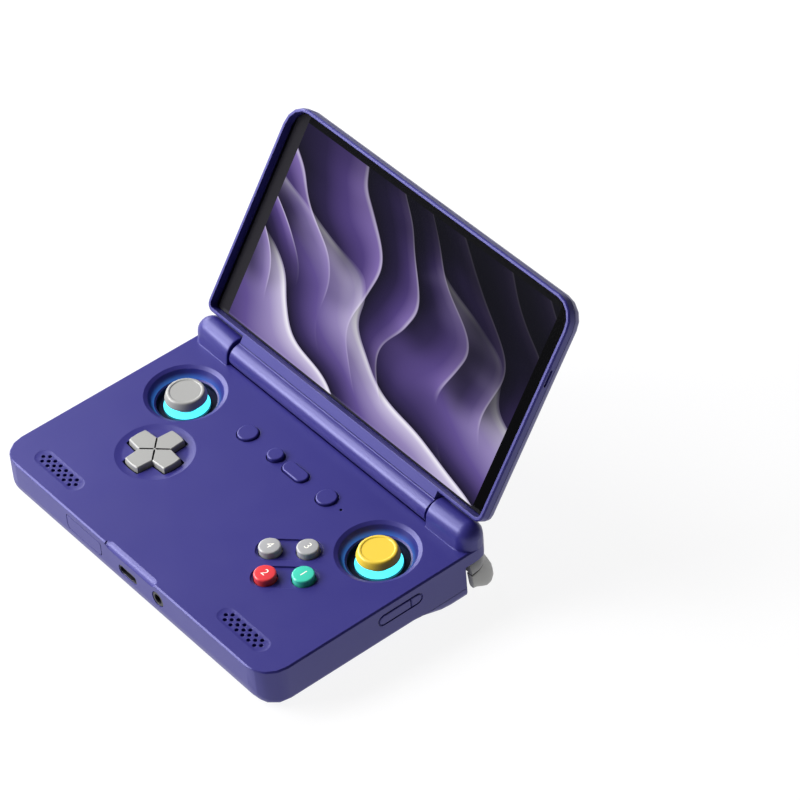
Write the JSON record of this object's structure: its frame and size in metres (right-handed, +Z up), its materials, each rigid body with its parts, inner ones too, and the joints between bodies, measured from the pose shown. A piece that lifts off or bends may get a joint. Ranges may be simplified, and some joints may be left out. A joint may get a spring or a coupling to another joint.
{
  "type": "clamshell handheld game console",
  "caption": "Clamshell handheld game console with a hinged widescreen lid, lit thumbsticks, a direction pad, buttons, shoulder triggers, ports and a cooling fan.",
  "frame": {"origin": "middle of the footprint of the open console's bounding box, on the table under its feet", "axes": "+X to the player's right along the hinge, +Y to the back, +Z up; the base leans forward by 2.9 degrees because its rear feet stand under the deeper rear of the housing"},
  "size_m": [0.1392, 0.1262, 0.0917],
  "materials": {
    "body_plastic": "satin moulded",
    "lid_plastic": "satin moulded",
    "grey_plastic": "satin",
    "key_grey": "polished",
    "yellow_plastic": "satin",
    "green_plastic": "polished",
    "red_plastic": "polished",
    "trigger_plastic": "satin",
    "light_plastic": "clear diffuser, lit from below",
    "screen_glass": "polished",
    "black_plastic": "satin",
    "board": "solder mask",
    "steel": "plated",
    "rubber": "matt",
    "silicone": "matt",
    "battery_foil": "laminated pouch"
  },
  "bodies": {
    "base": {"top_shell": "body_plastic", "bottom_shell": "body_plastic", "left_hinge_shaft": "steel", "right_hinge_shaft": "steel", "left_light_ring": "light_plastic", "right_light_ring": "light_plastic", "left_stick_base": "black_plastic", "right_stick_base": "black_plastic", "left_key_pad": "silicone", "right_key_pad": "silicone", "menu_key_pad": "silicone", "side_key_board": "board", "usb_c_port": "steel", "headphone_jack": "black_plastic", "card_reader": "steel", "left_shoulder_bracket": "black_plastic", "right_shoulder_bracket": "black_plastic", "mainboard": "board", "battery_pack": "battery_foil", "fan_housing": "black_plastic", "heatsink": "steel", "left_speaker": "black_plastic", "right_speaker": "black_plastic", "front_left_case_screw": "steel", "front_left_foot": "rubber", "front_right_case_screw": "steel", "front_right_foot": "rubber", "rear_left_case_screw": "steel", "rear_left_foot": "rubber", "rear_right_case_screw": "steel", "rear_right_foot": "rubber"},
    "lid": {"lid_bezel": "body_plastic", "lid_cover": "lid_plastic", "screen_glass": "screen_glass", "display_panel": "black_plastic"},
    "left_stick_yoke": {"left_stick_yoke": "steel"},
    "right_stick_yoke": {"right_stick_yoke": "steel"},
    "left_stick_hub": {"left_stick_hub": "steel"},
    "right_stick_hub": {"right_stick_hub": "steel"},
    "left_stick": {"left_stick": "grey_plastic"},
    "right_stick": {"right_stick": "yellow_plastic"},
    "direction_pad_pivot": {"direction_pad_pivot": "black_plastic"},
    "direction_pad": {"direction_pad": "grey_plastic"},
    "upper_face_button": {"upper_face_button": "key_grey"},
    "left_face_button": {"left_face_button": "key_grey"},
    "right_face_button": {"right_face_button": "green_plastic"},
    "lower_face_button": {"lower_face_button": "red_plastic"},
    "left_option_button": {"left_option_button": "body_plastic"},
    "right_option_button": {"right_option_button": "body_plastic"},
    "home_button": {"home_button": "body_plastic"},
    "oval_button": {"oval_button": "body_plastic"},
    "volume_rocker": {"volume_rocker": "body_plastic"},
    "power_button": {"power_button": "body_plastic"},
    "left_bumper": {"left_bumper": "trigger_plastic"},
    "right_bumper": {"right_bumper": "trigger_plastic"},
    "left_trigger": {"left_trigger": "trigger_plastic"},
    "right_trigger": {"right_trigger": "trigger_plastic"},
    "card_door": {"card_door": "body_plastic"},
    "fan_rotor": {"fan_rotor": "black_plastic"}
  },
  "joints": [
    {"name": "lid_hinge", "type": "hinge", "parent": "base", "child": "lid", "pos_m": [0, 0.01794, 0.02136], "axis": [1, 0, 0], "range_deg": [-20, 124.3]},
    {"name": "left_stick_forward_back", "type": "hinge", "parent": "base", "child": "left_stick_yoke", "pos_m": [-0.04864, -0.00367, 0.00821], "axis": [1, 0, 0], "range_deg": [-10, 10], "stiffness_Nm_per_rad": 0.05},
    {"name": "left_stick_sideways", "type": "hinge", "parent": "left_stick_yoke", "child": "left_stick_hub", "pos_m": [-0.04864, -0.00367, 0.00821], "axis": [0, 0.9987, 0.0504], "range_deg": [-10, 10], "stiffness_Nm_per_rad": 0.05},
    {"name": "left_stick_click", "type": "slide", "parent": "left_stick_hub", "child": "left_stick", "axis": [0, 0.0504, -0.9987], "range_m": [0, 0.0003], "stiffness_N_per_m": 500, "springref_m": -0.0006},
    {"name": "right_stick_forward_back", "type": "hinge", "parent": "base", "child": "right_stick_yoke", "pos_m": [0.04864, -0.00367, 0.00821], "axis": [1, 0, 0], "range_deg": [-10, 10], "stiffness_Nm_per_rad": 0.05},
    {"name": "right_stick_sideways", "type": "hinge", "parent": "right_stick_yoke", "child": "right_stick_hub", "pos_m": [0.04864, -0.00367, 0.00821], "axis": [0, 0.9987, 0.0504], "range_deg": [-10, 10], "stiffness_Nm_per_rad": 0.05},
    {"name": "right_stick_click", "type": "slide", "parent": "right_stick_hub", "child": "right_stick", "axis": [0, 0.0504, -0.9987], "range_m": [0, 0.0003], "stiffness_N_per_m": 500, "springref_m": -0.0006},
    {"name": "direction_pad_forward_back", "type": "hinge", "parent": "base", "child": "direction_pad_pivot", "pos_m": [-0.03337, -0.02735, 0.01182], "axis": [1, 0, 0], "range_deg": [-3, 3], "stiffness_Nm_per_rad": 0.03},
    {"name": "direction_pad_sideways", "type": "hinge", "parent": "direction_pad_pivot", "child": "direction_pad", "pos_m": [-0.03337, -0.02735, 0.01182], "axis": [0, 0.9987, 0.0504], "range_deg": [-3, 3], "stiffness_Nm_per_rad": 0.03},
    {"name": "upper_face_button_press", "type": "slide", "parent": "base", "child": "upper_face_button", "axis": [0, 0.0504, -0.9987], "range_m": [0, 0.001], "stiffness_N_per_m": 200, "springref_m": -0.0005},
    {"name": "left_face_button_press", "type": "slide", "parent": "base", "child": "left_face_button", "axis": [0, 0.0504, -0.9987], "range_m": [0, 0.001], "stiffness_N_per_m": 200, "springref_m": -0.0005},
    {"name": "right_face_button_press", "type": "slide", "parent": "base", "child": "right_face_button", "axis": [0, 0.0504, -0.9987], "range_m": [0, 0.001], "stiffness_N_per_m": 200, "springref_m": -0.0005},
    {"name": "lower_face_button_press", "type": "slide", "parent": "base", "child": "lower_face_button", "axis": [0, 0.0504, -0.9987], "range_m": [0, 0.001], "stiffness_N_per_m": 200, "springref_m": -0.0005},
    {"name": "left_option_button_press", "type": "slide", "parent": "base", "child": "left_option_button", "axis": [0, 0.0504, -0.9987], "range_m": [0, 0.0006], "stiffness_N_per_m": 200, "springref_m": -0.0005},
    {"name": "right_option_button_press", "type": "slide", "parent": "base", "child": "right_option_button", "axis": [0, 0.0504, -0.9987], "range_m": [0, 0.0006], "stiffness_N_per_m": 200, "springref_m": -0.0005},
    {"name": "home_button_press", "type": "slide", "parent": "base", "child": "home_button", "axis": [0, 0.0504, -0.9987], "range_m": [0, 0.0006], "stiffness_N_per_m": 200, "springref_m": -0.0005},
    {"name": "oval_button_press", "type": "slide", "parent": "base", "child": "oval_button", "axis": [0, 0.0504, -0.9987], "range_m": [0, 0.0006], "stiffness_N_per_m": 200, "springref_m": -0.0005},
    {"name": "volume_rocker_rock", "type": "hinge", "parent": "base", "child": "volume_rocker", "pos_m": [0.0665, -0.01373, 0.012], "axis": [0, -0.0504, 0.9987], "range_deg": [-2, 2], "stiffness_Nm_per_rad": 0.02},
    {"name": "power_button_press", "type": "slide", "parent": "base", "child": "power_button", "axis": [-1, 0, 0], "range_m": [0, 0.0003], "stiffness_N_per_m": 200, "springref_m": -0.0005},
    {"name": "left_bumper_press", "type": "hinge", "parent": "base", "child": "left_bumper", "pos_m": [-0.0418, 0.01842, 0.01393], "axis": [0, -0.0504, 0.9987], "range_deg": [0, 2.5], "stiffness_Nm_per_rad": 0.05, "springref_deg": -2.86},
    {"name": "left_trigger_pull", "type": "hinge", "parent": "base", "child": "left_trigger", "pos_m": [-0.0511, 0.01811, 0.0081], "axis": [1, 0, 0], "range_deg": [-8, 0], "stiffness_Nm_per_rad": 0.05, "springref_deg": 5.73},
    {"name": "right_bumper_press", "type": "hinge", "parent": "base", "child": "right_bumper", "pos_m": [0.0418, 0.01842, 0.01393], "axis": [0, -0.0504, 0.9987], "range_deg": [-2.5, 0], "stiffness_Nm_per_rad": 0.05, "springref_deg": 2.86},
    {"name": "right_trigger_pull", "type": "hinge", "parent": "base", "child": "right_trigger", "pos_m": [0.0511, 0.01811, 0.0081], "axis": [1, 0, 0], "range_deg": [-8, 0], "stiffness_Nm_per_rad": 0.05, "springref_deg": 5.73},
    {"name": "card_door_hinge", "type": "hinge", "parent": "base", "child": "card_door", "pos_m": [-0.01445, -0.06285, 0.00922], "axis": [0, -0.0504, 0.9987], "range_deg": [0, 90]},
    {"name": "fan_spin", "type": "hinge", "parent": "base", "child": "fan_rotor", "pos_m": [0, 0.00647, 0.00862], "axis": [0, -0.0504, 0.9987], "continuous": true}
  ]
}
